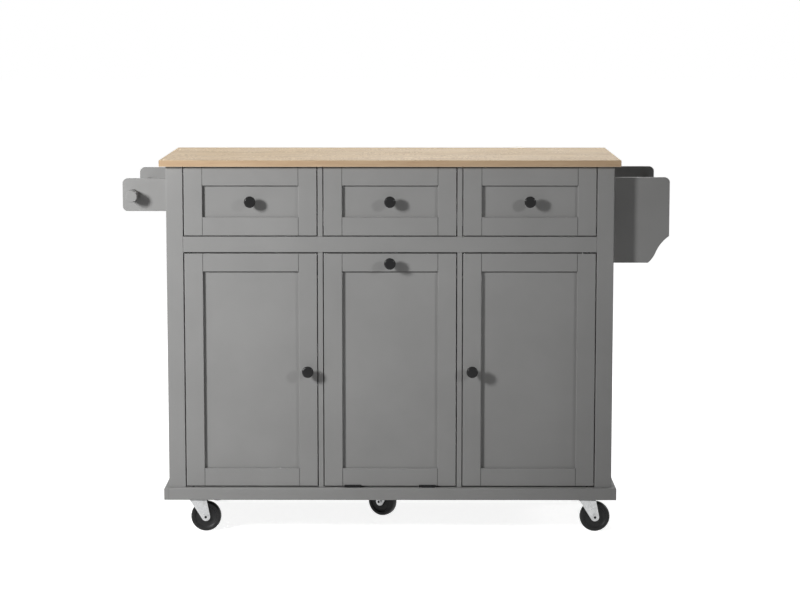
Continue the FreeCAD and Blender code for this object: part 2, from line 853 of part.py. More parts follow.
# Door nodes
for place, side in (("left", -1), ("right", 1)):
    frame, panel, fittings = side_door(side)
    knob_x = side * (divider_outer + side_gap + stile_width / 2)
    save("door_" + place + "_frame", frame)
    save("door_" + place + "_panel", [panel])
    save("door_" + place + "_knob", [knob(knob_x, 0, (door_bottom + door_top) / 2)])
    save("door_" + place + "_pivots", fittings)

# Tilt-out door nodes
x0, x1 = openings["middle"]
frame, panel = framed_front(x0 + side_gap, x1 - side_gap, door_bottom, door_top,
                            door_rail_height)
save("tilt_door_frame", frame)
save("tilt_door_panel", [panel])
save("tilt_door_knob", [knob(0, 0, door_top - door_rail_height / 2)])
save("bin_cradle", bin_cradle())
save("tilt_hinge_fixed_leaves", [hinge_half(side * hinge_spacing / 2, False)
                                 for side in (-1, 1)])
save("tilt_hinge_moving_leaves", [hinge_half(side * hinge_spacing / 2, True)
                                  for side in (-1, 1)])

# Rack nodes
save("towel_rack_ends", towel_rack_ends())
save("towel_bar", [towel_bar()])
save("spice_rack_ends", spice_rack_ends())
save("spice_shelf", [spice_shelf()])
save("spice_guard_rail", [spice_guard_rail()])

# Caster nodes
fork_solids = caster_fork()
wheel_solids = caster_wheel()
plate_solid = caster_plate()
plates = []
for place, (x, y, heading) in caster_places.items():
    save("caster_" + place + "_fork", placed(fork_solids, x, y, heading))
    save("caster_" + place + "_wheel", placed(wheel_solids, x, y, heading))
    plates += placed([plate_solid], x, y, 0)
save("caster_plates", plates)
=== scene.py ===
"""Kitchen island on casters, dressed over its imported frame.

Metres, +Z up, the front faces -Y. Painted boards, an oak worktop, black knobs, bright zinc casters
with black wheels, and a plain white studio. Colours are linear.
"""

import math

import bmesh
import bpy
from mathutils import Matrix, Vector


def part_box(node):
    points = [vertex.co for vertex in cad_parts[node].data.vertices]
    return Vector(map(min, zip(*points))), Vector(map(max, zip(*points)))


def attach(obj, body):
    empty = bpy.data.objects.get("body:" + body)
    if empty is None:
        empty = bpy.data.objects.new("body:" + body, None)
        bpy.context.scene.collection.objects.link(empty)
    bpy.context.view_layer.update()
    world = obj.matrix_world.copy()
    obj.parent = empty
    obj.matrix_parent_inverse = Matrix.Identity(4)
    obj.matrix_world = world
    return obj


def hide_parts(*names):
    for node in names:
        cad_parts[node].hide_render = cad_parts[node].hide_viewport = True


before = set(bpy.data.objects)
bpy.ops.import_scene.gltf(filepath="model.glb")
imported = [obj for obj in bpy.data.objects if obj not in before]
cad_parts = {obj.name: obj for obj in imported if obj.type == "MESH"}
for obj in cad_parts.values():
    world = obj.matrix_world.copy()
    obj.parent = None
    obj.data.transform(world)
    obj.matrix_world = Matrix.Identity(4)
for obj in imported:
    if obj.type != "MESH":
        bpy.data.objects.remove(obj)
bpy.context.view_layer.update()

# Camera: a long lens a little above the worktop, tipped down. Degrees and millimetres
CAMERA_PLACE = (0.0305, -5.5721, 1.3223)
CAMERA_PITCH = 6.769
CAMERA_TURN = 0.221
CAMERA_LENS = 99.743
CAMERA_SENSOR = 36.0
CAMERA_SHIFT = -0.05
CAMERA_REACH = 100.0

# Lamps: place, what they aim at, side of the square softbox, beam angle and power in watts
LAMPS = {
    "key_softbox": ((-1.95, -1.95, 1.53), (-1.90, -0.20, 1.08), 0.50, 180.0, 100.0),
    "fill_softbox": ((4.10, -4.20, 2.45), (0.06, -0.20, 0.62), 0.50, 16.0, 0.82),
    "back_softbox": ((0.30, 1.90, 3.00), (0.00, 0.20, 0.40), 1.20, 180.0, 50.0),
    "side_softbox": ((3.50, 0.80, 1.45), (0.50, 0.10, 0.50), 0.60, 180.0, 24.0),
}
WHITE = (1, 1, 1, 1)
ROOM_AMBIENT = 0.02
BACKDROP_WHITE = 1.0

# Floor: its glow rises to the backdrop's white between two distances from the object
FLOOR_HALF_WIDTH = 30.0
FLOOR_COLOUR = (0.60, 0.60, 0.60, 1.0)
FLOOR_GLOW_NEAR = 0.87
FLOOR_GLOW_START, FLOOR_GLOW_END = 0.9, 2.2

# Moving bodies, and each caster's heading in degrees
DRAWERS = ("drawer_left", "drawer_middle", "drawer_right")
SIDE_DOORS = ("door_left", "door_right")
DOORS = SIDE_DOORS + ("tilt_door",)
WHEEL_HEADINGS = {"front_left": 0.0, "front_right": 0.0, "rear_left": 8.0,
                  "rear_right": -12.0, "centre": 148.0}
CASTERS = tuple("caster_" + place for place in WHEEL_HEADINGS)

# Knob, from the seat outwards: foot, waist, flare, rim and a slightly domed face, as shares of
# its radius and length
KNOB_STEPS = 48
KNOB_PROFILE = [
    (0, 0), (0.60, 0), (0.62, 0.03), (0.60, 0.08), (0.50, 0.14), (0.43, 0.22), (0.41, 0.32),
    (0.42, 0.42), (0.47, 0.50), (0.58, 0.57), (0.76, 0.62), (0.92, 0.665), (0.985, 0.71),
    (1.0, 0.765), (1.0, 0.85), (0.99, 0.90), (0.96, 0.94), (0.90, 0.968), (0.80, 0.983),
    (0.60, 0.992), (0.32, 0.998), (0, 1)]

# Half a wheel, from the bore outwards: hub, web, rim and tread, as radius and half width
WHEEL_STEPS = 72
WHEEL_PROFILE = [
    (0.0042, 0.0120), (0.0092, 0.0120), (0.0098, 0.0114), (0.0102, 0.0090), (0.0115, 0.0082),
    (0.0255, 0.0082), (0.0270, 0.0092), (0.0276, 0.0112), (0.0284, 0.0118), (0.0330, 0.0120),
    (0.0346, 0.0114), (0.0358, 0.0102), (0.0368, 0.0080), (0.0373, 0.0052), (0.0375, 0.0020)]

# Axle ends: how far out each leg's face lies, how far the hexagonal end stands off it, and
# (radius, height) rings of the washer round it and the dark centre on it
FORK_OUTER = 0.0152
AXLE_END_HEIGHT = 0.0040
AXLE_END_STEPS = 32
WASHER_RINGS = [(0.0050, 0.0), (0.0050, 0.0008), (0.0081, 0.0008), (0.0085, 0.0004),
                (0.0085, 0.0)]
SOCKET_RINGS = [(0, 0.0), (0.0033, 0.0), (0.0033, 0.00012), (0, 0.00016)]

# Plate screws: a pan head as shares of its radius and height, whose inner rings narrow between
# the arms of a cross. Then their places on the plate and the turns in radians they stop at
SCREW_STEPS = 16
SCREW_RADIUS = 0.0044
SCREW_HEIGHT = 0.0022
SCREW_PROFILE = [(1, 0), (1, 0.35), (0.86, 0.80), (0.62, 1), (0.52, 1), (0.40, 0.45), (0, 0.35)]
CROSS_FIRST_RING = 4
CROSS_ARMS = 4
CROSS_NARROWING = 0.42
SCREW_INSET = 0.0215
SCREW_TURN_ACROSS, SCREW_TURN_ALONG = 0.7, 0.4
PLATE_UNDERSIDE = 0.0955
CASTER_TRAIL = 0.025

# Framed fronts: where their faces lie and how far behind them the painted joint shade lines fade,
# their stiles and rails, and the joints between them
FRONT_FACE = -0.2065
FACE_FADE_START, FACE_FADE_END = 0.0015, 0.0025
STILE_WIDTH = 0.045
DRAWER_RAIL, DOOR_RAIL = 0.045, 0.044
JOINT_HALF_WIDTH = 0.0007
JOINT_FADE = 0.3

SMOOTH_ANGLE = math.radians(35)
JOIN_REACH = 1e-6
EASE_SEGMENTS = 2
EASE_ANGLE = math.radians(50)
CORNER_SAMPLES = 4
PAINTED_SHADE_SAMPLES = 6


def each(bodies, ending):
    return [body + ending for body in bodies]


FRAMED_FRONTS = {**dict.fromkeys(each(DRAWERS, "_front"), DRAWER_RAIL),
                 **dict.fromkeys(each(DOORS, "_frame"), DOOR_RAIL)}

# Which finish each carried-over node gets
FINISHES = {
    "oak": ["worktop"],
    "paint": ["side_panels", "front_posts", "middle_rail", "bottom_rail", "dividers",
              "plinth_front", "plinth_sides", "towel_rack_ends", "towel_bar",
              "spice_rack_ends", "spice_shelf", "spice_guard_rail"],
    "front_paint": each(DRAWERS, "_front") + each(DOORS, "_frame") + each(DOORS, "_panel"),
    "carcass": ["bottom_panel", "back_panel", "top_stretchers", "shelves",
                "runner_battens"],
    "birch": each(DRAWERS, "_box") + ["bin_cradle"],
    "zinc": ["shelf_supports", "runner_channels", "caster_plates"]
            + each(DRAWERS, "_runners") + each(CASTERS, "_fork"),
    "black_hinge": ["tilt_hinge_fixed_leaves", "tilt_hinge_moving_leaves"]
                   + each(SIDE_DOORS, "_pivots"),
    "black_metal": each(DRAWERS + DOORS, "_knob"),
    "rubber": each(CASTERS, "_wheel"),
    "nylon": ["magnet_catches"],
}

# Pieces whose corners are softened as a maker would ease them: node and radius
SOFTENED = {"worktop": 0.0008, "side_panels": 0.0008, "plinth_sides": 0.0006,
            "plinth_front": 0.0006, "towel_rack_ends": 0.0012, "spice_rack_ends": 0.0012,
            "spice_shelf": 0.0010, "shelves": 0.0008, "bin_cradle": 0.0012,
            "magnet_catches": 0.0010, **dict.fromkeys(each(DRAWERS, "_box"), 0.0008)}


# Node helpers

def wire(tree, sockets, values):
    """Set each socket to its plain value, or link it."""
    for key, value in values.items():
        if isinstance(value, bpy.types.NodeSocket):
            tree.links.new(value, sockets[key])
        else:
            sockets[key].default_value = value


def add(tree, kind, inputs=None, **settings):
    """One shader node with its settings, its plain values and its links."""
    made = tree.nodes.new(kind)
    for key, value in settings.items():
        setattr(made, key, value)
    wire(tree, made.inputs, inputs or {})
    return made


def maths(tree, operation, a, b=0.0):
    return add(tree, "ShaderNodeMath", {0: a, 1: b}, operation=operation).outputs[0]


def times(tree, a, b):
    return maths(tree, "MULTIPLY", a, b)


def rest_of(tree, value):
    """What is left of 1."""
    return maths(tree, "SUBTRACT", 1.0, value)


def spread(tree, value, start, end, at_start=0.0, at_end=1.0):
    """A value's span from start to end stretched onto another, held at its ends."""
    return add(tree, "ShaderNodeMapRange", {"Value": value, "From Min": start,
               "From Max": end, "To Min": at_start, "To Max": at_end}).outputs["Result"]


def laid_over(tree, below, colour, mask, share):
    """A colour over the one below where the mask is, up to a share."""
    return add(tree, "ShaderNodeMix", {0: times(tree, mask, share), 6: below, 7: colour},
               data_type="RGBA").outputs[2]


def tones(tree, value, stops):
    """A colour ramp: (place, colour) pairs."""
    made = add(tree, "ShaderNodeValToRGB", {"Fac": value})
    ramp = made.color_ramp
    while len(ramp.elements) < len(stops):
        ramp.elements.new(1.0)
    for element, (place, colour) in zip(ramp.elements, stops):
        element.position = place
        element.color = colour
    return made.outputs["Color"]


def stretched(tree, vector, scale):
    return add(tree, "ShaderNodeMapping", {"Vector": vector, "Scale": scale}).outputs["Vector"]


def cloud(tree, vector, scale=1.0, detail=2.0, roughness=0.5):
    return add(tree, "ShaderNodeTexNoise", {"Vector": vector, "Scale": scale,
               "Detail": detail, "Roughness": roughness}).outputs["Fac"]


def place_of(tree):
    """The piece's own coordinates, in metres, which at rest are the scene's."""
    return add(tree, "ShaderNodeTexCoord").outputs["Object"]


def axes_of(tree, vector):
    return add(tree, "ShaderNodeSeparateXYZ", {0: vector}).outputs


def scaled(colour, share):
    """A colour made lighter or darker, with its alpha."""
    return tuple(c * share for c in colour) + (1,)


def new_group(name, inputs, outputs):
    """An empty node group: its tree, the sockets it is given and those it has to fill."""
    tree = bpy.data.node_groups.new(name, "ShaderNodeTree")
    for label, kind, start in inputs:
        socket = tree.interface.new_socket(label, in_out="INPUT", socket_type=kind)
        if start is not None:
            socket.default_value = start
    for label, kind in outputs:
        tree.interface.new_socket(label, in_out="OUTPUT", socket_type=kind)
    given = tree.nodes.new("NodeGroupInput").outputs
    result = tree.nodes.new("NodeGroupOutput").inputs
    return tree, given, result


FLOAT, VECTOR = "NodeSocketFloat", "NodeSocketVector"


# Effects shared by several finishes

def eased_corner_group():
    """A normal that turns over each corner, as on a board whose edges are eased."""
    tree, given, result = new_group("eased_corner", [("Reach", FLOAT, 0.001)],
                                    [("Normal", VECTOR)])
    rounded = add(tree, "ShaderNodeBevel", {"Radius": given["Reach"]}, samples=CORNER_SAMPLES)
    wire(tree, result, {"Normal": rounded.outputs["Normal"]})
    return tree


def edge_wear_and_highlight_group():
    """Near an edge, where the rounded normal leaves the flat one: corners that are rubbed, and on
    the grey paint partly a painted highlight.
    """
    tree, given, result = new_group("edge_wear_and_highlight", [
        ("Reach", FLOAT, 0.0015), ("Patch Scale", FLOAT, 40.0), ("Vector", VECTOR, None)],
        [("Wear And Highlight", FLOAT)])
    rounded = add(tree, "ShaderNodeBevel", {"Radius": given["Reach"]}, samples=CORNER_SAMPLES)
    flat = add(tree, "ShaderNodeNewGeometry").outputs["Normal"]
    match = add(tree, "ShaderNodeVectorMath", {0: rounded.outputs["Normal"], 1: flat},
                operation="DOT_PRODUCT").outputs["Value"]
    edge = spread(tree, match, start=0.995, end=0.90)
    patches = cloud(tree, given["Vector"], given["Patch Scale"], detail=4.0, roughness=0.65)
    kept = spread(tree, patches, start=0.35, end=0.70)
    wire(tree, result, {"Wear And Highlight": times(tree, edge, kept)})
    return tree


def painted_crevice_shade_group():
    """Painted shade in seams and inner corners: how closed in a point is, within a few
    millimetres.
    """
    tree, given, result = new_group("painted_crevice_shade", [("Reach", FLOAT, 0.003)],
                                    [("Shade", FLOAT)])
    open_share = add(tree, "ShaderNodeAmbientOcclusion", {"Distance": given["Reach"]},
                     samples=PAINTED_SHADE_SAMPLES).outputs["AO"]
    wire(tree, result, {"Shade": spread(tree, open_share, start=0.45, end=0.15)})
    return tree


def sprayed_skin_group():
    """Slow mottling, fine orange peel and stray nibs in a sprayed coat."""
    tree, given, result = new_group("sprayed_skin", [
        ("Vector", VECTOR, None), ("Mottle Scale", FLOAT, 7.0), ("Peel Scale", FLOAT, 420.0),
        ("Nib Scale", FLOAT, 90.0)],
        [("Mottle", FLOAT), ("Peel", FLOAT), ("Nibs", FLOAT)])
    cells = add(tree, "ShaderNodeTexVoronoi", {"Vector": given["Vector"],
                "Scale": given["Nib Scale"], "Randomness": 1.0}).outputs["Distance"]
    wire(tree, result, {
        "Mottle": cloud(tree, given["Vector"], given["Mottle Scale"], detail=3.0,
                        roughness=0.55),
        "Peel": cloud(tree, given["Vector"], given["Peel Scale"]),
        "Nibs": spread(tree, cells, start=0.07, end=0.02)})
    return tree


def grain_group():
    """Wood figure from a vector that is already stretched along the board."""
    tree, given, result = new_group("grain", [
        ("Vector", VECTOR, None), ("Band Scale", FLOAT, 6.0), ("Line Scale", FLOAT, 60.0),
        ("Pore Scale", FLOAT, 240.0), ("Drift", FLOAT, 0.4)],
        [("Bands", FLOAT), ("Lines", FLOAT), ("Pores", FLOAT)])
    drift = add(tree, "ShaderNodeTexNoise", {"Vector": given["Vector"], "Scale": 2.0,
                "Detail": 2.0}).outputs["Color"]
    pushed = add(tree, "ShaderNodeVectorMath", {0: drift, "Scale": given["Drift"]},
                 operation="SCALE").outputs[0]
    path = add(tree, "ShaderNodeVectorMath", {0: given["Vector"], 1: pushed},
               operation="ADD").outputs[0]
    pores = cloud(tree, given["Vector"], given["Pore Scale"])
    wire(tree, result, {
        "Bands": cloud(tree, path, given["Band Scale"], detail=3.0, roughness=0.6),
        "Lines": cloud(tree, path, given["Line Scale"], detail=4.0, roughness=0.7),
        "Pores": spread(tree, pores, start=0.60, end=0.72)})
    return tree


def handled_group():
    """Patches that hands and cloths have left a little shinier or duller."""
    tree, given, result = new_group("handled", [
        ("Vector", VECTOR, None), ("Patch Scale", FLOAT, 14.0), ("Low", FLOAT, 0.4),
        ("High", FLOAT, 0.5)], [("Roughness", FLOAT)])
    patches = cloud(tree, given["Vector"], given["Patch Scale"], detail=5.0, roughness=0.6)
    wire(tree, result, {"Roughness": spread(tree, patches, start=0.3, end=0.7,
                                            at_start=given["Low"], at_end=given["High"])})
    return tree


def floor_dust_group():
    """Specks of dust, thicker towards the floor."""
    tree, given, result = new_group("floor_dust", [
        ("Vector", VECTOR, None), ("Height", FLOAT, 0.12), ("Speck Scale", FLOAT, 300.0)],
        [("Dust", FLOAT)])
    lowness = spread(tree, axes_of(tree, given["Vector"])["Z"], start=given["Height"], end=0.0)
    specks = cloud(tree, given["Vector"], given["Speck Scale"], detail=4.0, roughness=0.75)
    scattered = spread(tree, specks, start=0.52, end=0.72)
    wire(tree, result, {"Dust": times(tree, lowness, scattered)})
    return tree


GROUPS = {"eased_corner": eased_corner_group(), "edge_wear_and_highlight": edge_wear_and_highlight_group(),
          "painted_crevice_shade": painted_crevice_shade_group(), "sprayed_skin": sprayed_skin_group(),
          "grain": grain_group(), "handled": handled_group(), "floor_dust": floor_dust_group()}


def use_group(tree, name, inputs):
    made = add(tree, "ShaderNodeGroup", node_tree=GROUPS[name])
    wire(tree, made.inputs, inputs)
    return made.outputs


def sprayed_skin(tree, place, mottle, peel, nibs):
    return use_group(tree, "sprayed_skin", {"Vector": place, "Mottle Scale": mottle,
                     "Peel Scale": peel, "Nib Scale": nibs})


def grain(tree, along, bands, lines, pores, drift):
    return use_group(tree, "grain", {"Vector": along, "Band Scale": bands,
                     "Line Scale": lines, "Pore Scale": pores, "Drift": drift})


def handled(tree, place, patches, low, high):
    """A roughness that wanders between two values."""
    return use_group(tree, "handled", {"Vector": place, "Patch Scale": patches, "Low": low,
                     "High": high})["Roughness"]


def rubbed(tree, place, below, colour, reach, patches, share):
    """The colour below, with another one near edges: worn corners, and on the grey paint partly a
    painted highlight.
    """
    wear = use_group(tree, "edge_wear_and_highlight", {"Vector": place, "Reach": reach,
                     "Patch Scale": patches})["Wear And Highlight"]
    return laid_over(tree, below, colour, wear, share)


def dusted(tree, place, below, colour, height, specks, share):
    """The colour below, with dust up to a height over the floor."""
    dust = use_group(tree, "floor_dust", {"Vector": place, "Height": height,
                     "Speck Scale": specks})["Dust"]
    return laid_over(tree, below, colour, dust, share)


def with_painted_crevice_shade(tree, below, colour, reach, share=0.80):
    """The colour below, darkened as painted shade in seams and inner corners."""
    shade = use_group(tree, "painted_crevice_shade", {"Reach": reach})["Shade"]
    return laid_over(tree, below, colour, shade, share)


# Finishes

def bare_tree(owner):
    owner.use_nodes = True
    owner.node_tree.nodes.clear()
    return owner.node_tree


def start_material(name):
    made = bpy.data.materials.new(name)
    tree = bare_tree(made)
    surface = add(tree, "ShaderNodeBsdfPrincipled")
    add(tree, "ShaderNodeOutputMaterial", {"Surface": surface.outputs["BSDF"]})
    return made, tree, surface


def bumped(tree, height, strength, distance, normal=None):
    given = {"Height": height, "Strength": strength, "Distance": distance}
    if normal is not None:
        given["Normal"] = normal
    return add(tree, "ShaderNodeBump", given).outputs["Normal"]


OAK_STRETCH = (0.9, 14.0, 14.0)
OAK_FIGURE = [(0.30, (0.592, 0.440, 0.270, 1)), (0.50, (0.642, 0.489, 0.311, 1)),
              (0.68, (0.692, 0.539, 0.354, 1))]
OAK_LINE = (0.420, 0.305, 0.195, 1)
OAK_PORE = (0.330, 0.230, 0.145, 1)
FLECK_STRETCH = (9.0, 64.0, 110.0)
FLECK_DARK, FLECK_PALE = (0.430, 0.300, 0.180, 1), (0.780, 0.640, 0.440, 1)
SAW_MARK_STRETCH, SAW_PATCH_STRETCH = (210.0, 34.0, 34.0), (16.0, 34.0, 34.0)
SAW_MARK_DARK, SAW_MARK_PALE = (0.340, 0.230, 0.135, 1), (0.860, 0.730, 0.530, 1)
OAK_EDGE_BAND_AND_SHADE = (0.375, 0.245, 0.150, 1)
OAK_ARRIS = (0.620, 0.490, 0.360, 1)
OAK_RUBBED = (0.600, 0.480, 0.340, 1)
ARRIS_LOW, ARRIS_HIGH = 0.9154, 0.9162


def oak_flecks(tree, place, below):
    """Short dark and pale flecks along the board."""
    flecks = cloud(tree, stretched(tree, place, FLECK_STRETCH), detail=4.0, roughness=0.62)
    dark = spread(tree, flecks, start=0.50, end=0.66)
    pale = spread(tree, flecks, start=0.49, end=0.35)
    flecked = laid_over(tree, below, FLECK_DARK, dark, share=0.30)
    return laid_over(tree, flecked, FLECK_PALE, pale, share=0.26)


def saw_marks(tree, place, below, sides):
    """Patches of dark and pale marks across the board, kept off its sides."""
    marks = cloud(tree, stretched(tree, place, SAW_MARK_STRETCH), detail=3.0, roughness=0.60)
    patches = cloud(tree, stretched(tree, place, SAW_PATCH_STRETCH))
    kept = times(tree, spread(tree, patches, start=0.43, end=0.60), rest_of(tree, sides))
    dark = times(tree, spread(tree, marks, start=0.52, end=0.62), kept)
    pale = times(tree, spread(tree, marks, start=0.48, end=0.38), kept)
    marked = laid_over(tree, below, SAW_MARK_DARK, dark, share=0.46)
    return laid_over(tree, marked, SAW_MARK_PALE, pale, share=0.37)


def oak_finish():
    """Pale rough-sawn oak: long streaks, flecks, patches of saw marks, and browner sides, partly
    the edge band's own colour and partly painted shade.
    """
    made, tree, surface = start_material("oak")
    place = place_of(tree)
    figure = grain(tree, stretched(tree, place, OAK_STRETCH), bands=1.1, lines=9.0, pores=26.0,
                   drift=0.12)
    base = tones(tree, figure["Bands"], OAK_FIGURE)
    lines = spread(tree, figure["Lines"], start=0.44, end=0.60)
    lined = laid_over(tree, base, OAK_LINE, lines, share=0.33)
    pored = laid_over(tree, lined, OAK_PORE, figure["Pores"], share=0.45)
    flecked = oak_flecks(tree, place, pored)
    facing = axes_of(tree, add(tree, "ShaderNodeNewGeometry").outputs["Normal"])["Z"]
    sides = spread(tree, maths(tree, "ABSOLUTE", facing), start=0.75, end=0.25)
    sawn = saw_marks(tree, place, flecked, sides)
    # Sides browner: partly the edge band's own colour, partly painted shade
    edged = laid_over(tree, sawn, OAK_EDGE_BAND_AND_SHADE, sides, share=0.62)
    lowest = spread(tree, axes_of(tree, place)["Z"], start=ARRIS_HIGH, end=ARRIS_LOW)
    trimmed = laid_over(tree, edged, OAK_ARRIS, times(tree, lowest, sides), share=0.55)
    height = maths(tree, "SUBTRACT", times(tree, figure["Lines"], 0.35), figure["Pores"])
    wire(tree, surface.inputs, {
        "Base Color": rubbed(tree, place, trimmed, OAK_RUBBED, reach=0.0014, patches=30.0,
                             share=0.35),
        "Normal": bumped(tree, height, strength=0.35, distance=0.0002),
        "Roughness": handled(tree, place, patches=9.0, low=0.46, high=0.58),
        "Specular IOR Level": 0.15})
    return made


def painted_joint_shade_lines(tree, place):
    """Painted shade as fine dark lines where rails meet stiles, on the front faces above and below
    panels.
    """
    axes = axes_of(tree, place)
    nearest, beside_panel = None, None
    for node, rail in FRAMED_FRONTS.items():
        low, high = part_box(node)
        for joint in (low[0] + STILE_WIDTH, high[0] - STILE_WIDTH):
            away = maths(tree, "ABSOLUTE", maths(tree, "SUBTRACT", axes["X"], joint))
            nearest = away if nearest is None else maths(tree, "MINIMUM", nearest, away)
        centre, half = (low[2] + high[2]) / 2, (high[2] - low[2]) / 2 - rail
        off = maths(tree, "ABSOLUTE", maths(tree, "SUBTRACT", axes["Z"], centre))
        inside = maths(tree, "LESS_THAN", off, half)
        beside_panel = inside if beside_panel is None else maths(
            tree, "MAXIMUM", beside_panel, inside)
    line = spread(tree, nearest, start=JOINT_HALF_WIDTH * (1 + JOINT_FADE),
                  end=JOINT_HALF_WIDTH * (1 - JOINT_FADE))
    on_face = spread(tree, axes["Y"], start=FRONT_FACE + FACE_FADE_END,
                     end=FRONT_FACE + FACE_FADE_START)
    return times(tree, times(tree, line, on_face), rest_of(tree, beside_panel))


PAINT_COLOUR = (0.250, 0.249, 0.246)
PAINT_MOTTLE = [(0.30, scaled(PAINT_COLOUR, 0.95)), (0.70, scaled(PAINT_COLOUR, 1.05))]
# Painted shade colour along the joints of the framed fronts
PAINT_JOINT_SHADE = scaled(PAINT_COLOUR, 0.22)
# Painted shade colour for seams and inner corners
PAINT_PAINTED_SHADE = scaled(PAINT_COLOUR, 0.18)
# Lighter edge colour: partly thinner paint on rubbed corners, partly a painted highlight
PAINT_WEAR_AND_HIGHLIGHT = scaled(PAINT_COLOUR, 1.5)
PAINT_DUST = (0.45, 0.43, 0.40, 1)


def paint_finish(name, framed=False):
    """Satin grey spray on board: lighter at edges, partly thinner paint on rubbed corners and
    partly a painted highlight; painted shade in seams, and on framed fronts along the joints.
    """
    made, tree, surface = start_material(name)
    place = place_of(tree)
    skin = sprayed_skin(tree, place, mottle=5.0, peel=520.0, nibs=60.0)
    base = tones(tree, skin["Mottle"], PAINT_MOTTLE)
    if framed:
        # On framed fronts, painted shade along the joints where rails meet stiles
        base = laid_over(tree, base, PAINT_JOINT_SHADE, painted_joint_shade_lines(tree, place), share=0.90)
    # Lighter near edges: partly rubbed corners, partly a painted highlight
    worn = rubbed(tree, place, base, PAINT_WEAR_AND_HIGHLIGHT, reach=0.0012, patches=22.0, share=0.35)
    dusty = dusted(tree, place, worn, PAINT_DUST, height=0.13, specks=260.0, share=0.12)
    height = maths(tree, "ADD", skin["Peel"], times(tree, skin["Nibs"], 0.6))
    eased = use_group(tree, "eased_corner", {"Reach": 0.0018})["Normal"]
    # The base colour gets painted shade in seams and inner corners
    wire(tree, surface.inputs, {
        "Base Color": with_painted_crevice_shade(tree, dusty, PAINT_PAINTED_SHADE, reach=0.0025),
        "Normal": bumped(tree, height, strength=0.12, distance=0.00008, normal=eased),
        "Roughness": handled(tree, place, patches=11.0, low=0.44, high=0.54),
        "Specular IOR Level": 0.20})
    return made


CARCASS_STRETCH = (1.2, 6.0, 18.0)
CARCASS_FIGURE = [(0.30, (0.315, 0.315, 0.305, 1)), (0.70, (0.365, 0.365, 0.355, 1))]
CARCASS_LINE = (0.235, 0.235, 0.228, 1)
CARCASS_RUBBED = (0.46, 0.43, 0.38, 1)


def carcass_finish():
    """Matt grey melamine with a faint print of grain, browner at worn corners."""
    made, tree, surface = start_material("carcass")
    place = place_of(tree)
    figure = grain(tree, stretched(tree, place, CARCASS_STRETCH), bands=1.4, lines=12.0,
                   pores=40.0, drift=0.1)
    base = tones(tree, figure["Bands"], CARCASS_FIGURE)
    lined = laid_over(tree, base, CARCASS_LINE, figure["Lines"], share=0.22)
    wire(tree, surface.inputs, {
        "Base Color": rubbed(tree, place, lined, CARCASS_RUBBED, reach=0.0012, patches=26.0,
                             share=0.4),
        "Normal": bumped(tree, figure["Lines"], strength=0.10, distance=0.0001),
        "Roughness": handled(tree, place, patches=8.0, low=0.52, high=0.64)})
    return made


BIRCH_STRETCH = (7.0, 1.0, 9.0)
BIRCH_FIGURE = [(0.28, (0.560, 0.430, 0.285, 1)), (0.52, (0.650, 0.520, 0.360, 1)),
                (0.74, (0.710, 0.585, 0.425, 1))]
BIRCH_LINE = (0.500, 0.365, 0.230, 1)
BIRCH_PORE = (0.420, 0.290, 0.180, 1)
BIRCH_RUBBED = (0.455, 0.320, 0.195, 1)


def birch_finish():
    """Lacquered birch: a soft figure from front to back, fine lines and darker worn corners."""
    made, tree, surface = start_material("birch")
    place = place_of(tree)
    figure = grain(tree, stretched(tree, place, BIRCH_STRETCH), bands=1.6, lines=14.0,
                   pores=60.0, drift=0.35)
    base = tones(tree, figure["Bands"], BIRCH_FIGURE)
    lined = laid_over(tree, base, BIRCH_LINE, figure["Lines"], share=0.25)
    pored = laid_over(tree, lined, BIRCH_PORE, figure["Pores"], share=0.25)
    wire(tree, surface.inputs, {
        "Base Color": rubbed(tree, place, pored, BIRCH_RUBBED, reach=0.0015, patches=30.0,
                             share=0.4),
        "Normal": bumped(tree, figure["Lines"], strength=0.18, distance=0.00015),
        "Roughness": handled(tree, place, patches=12.0, low=0.36, high=0.48)})
    return made


ZINC_SPANGLE = [(0.0, (0.460, 0.466, 0.472, 1)), (1.0, (0.560, 0.564, 0.568, 1))]
ZINC_SPANGLE_SCALE = 340.0
ZINC_DULL = (0.360, 0.360, 0.355, 1)
ZINC_DUST = (0.400, 0.380, 0.350, 1)
# Painted shade colour for the zinc's seams
ZINC_PAINTED_SHADE = (0.050, 0.050, 0.052, 1)
DRAW_LINE_STRETCH = (40.0, 40.0, 900.0)


def zinc_finish():
    """Bright zinc plating on pressed steel: spangle, draw lines, dull patches, and painted shade
    in seams.
    """
    made, tree, surface = start_material("zinc")
    place = place_of(tree)
    spangle = add(tree, "ShaderNodeTexVoronoi", {"Vector": place, "Scale": ZINC_SPANGLE_SCALE,
                  "Randomness": 1.0}).outputs["Color"]
    share = add(tree, "ShaderNodeSeparateColor", {0: spangle}).outputs[0]
    patches = cloud(tree, place, scale=55.0, detail=4.0, roughness=0.6)
    dulled = laid_over(tree, tones(tree, share, ZINC_SPANGLE), ZINC_DULL,
                       spread(tree, patches, start=0.52, end=0.80), share=0.55)
    dusty = dusted(tree, place, dulled, ZINC_DUST, height=0.09, specks=420.0, share=0.25)
    lines = cloud(tree, stretched(tree, place, DRAW_LINE_STRETCH), detail=3.0, roughness=0.6)
    # The zinc's colour gets painted shade in seams
    wire(tree, surface.inputs, {
        "Base Color": with_painted_crevice_shade(tree, dusty, ZINC_PAINTED_SHADE, reach=0.0016),
        "Metallic": 1.0,
        "Normal": bumped(tree, lines, strength=0.10, distance=0.00005),
        "Roughness": handled(tree, place, patches=60.0, low=0.22, high=0.40)})
    return made


HINGE_BLACK = (0.008, 0.008, 0.0085)
KNOB_BLACK = (0.006, 0.006, 0.0063)
ENAMEL_RUBBED = (0.070, 0.068, 0.065, 1)


